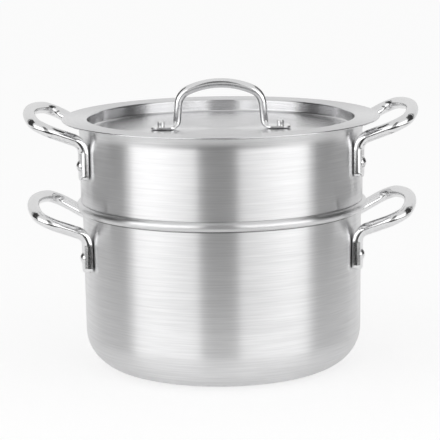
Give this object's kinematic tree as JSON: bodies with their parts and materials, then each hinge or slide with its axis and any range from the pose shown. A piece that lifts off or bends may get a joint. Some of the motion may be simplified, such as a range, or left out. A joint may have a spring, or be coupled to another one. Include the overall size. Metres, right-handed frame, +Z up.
{
  "type": "double boiler",
  "caption": "Aluminium stovetop double boiler: water pot, nested insert pan with riveted loop handles, and a sunken flanged cover with an arched handle.",
  "frame": {"origin": "centre of the boiler's flat base, on the common axis", "axes": "+Z up along the common axis, +X along the pot handles, -Y towards the viewer"},
  "size_m": [0.3658, 0.2956, 0.269],
  "materials": {
    "brushed_shell": "brushed round the axis",
    "spun_cover": "satin, spun",
    "polished_rod": "polished",
    "polished_rivet": "polished"
  },
  "bodies": {
    "boiler": {"boiler_pot": "brushed_shell", "boiler_handle_left": "polished_rod", "boiler_handle_right": "polished_rod", "boiler_rivet_left_front": "polished_rivet", "boiler_rivet_left_rear": "polished_rivet", "boiler_rivet_right_front": "polished_rivet", "boiler_rivet_right_rear": "polished_rivet"},
    "insert": {"insert_pan": "brushed_shell", "insert_handle_left": "polished_rod", "insert_handle_right": "polished_rod", "insert_rivet_left_front": "polished_rivet", "insert_rivet_left_rear": "polished_rivet", "insert_rivet_right_front": "polished_rivet", "insert_rivet_right_rear": "polished_rivet"},
    "cover": {"cover": "spun_cover", "cover_handle": "polished_rod", "cover_rivet_left": "polished_rivet", "cover_rivet_right": "polished_rivet"}
  },
  "joints": [
    {"name": "insert_lift", "type": "slide", "parent": "boiler", "child": "insert", "axis": [0, 0, 1], "range_m": [0, 0.125]},
    {"name": "cover_lift", "type": "slide", "parent": "insert", "child": "cover", "axis": [0, 0, 1], "range_m": [0, 0.06]}
  ]
}
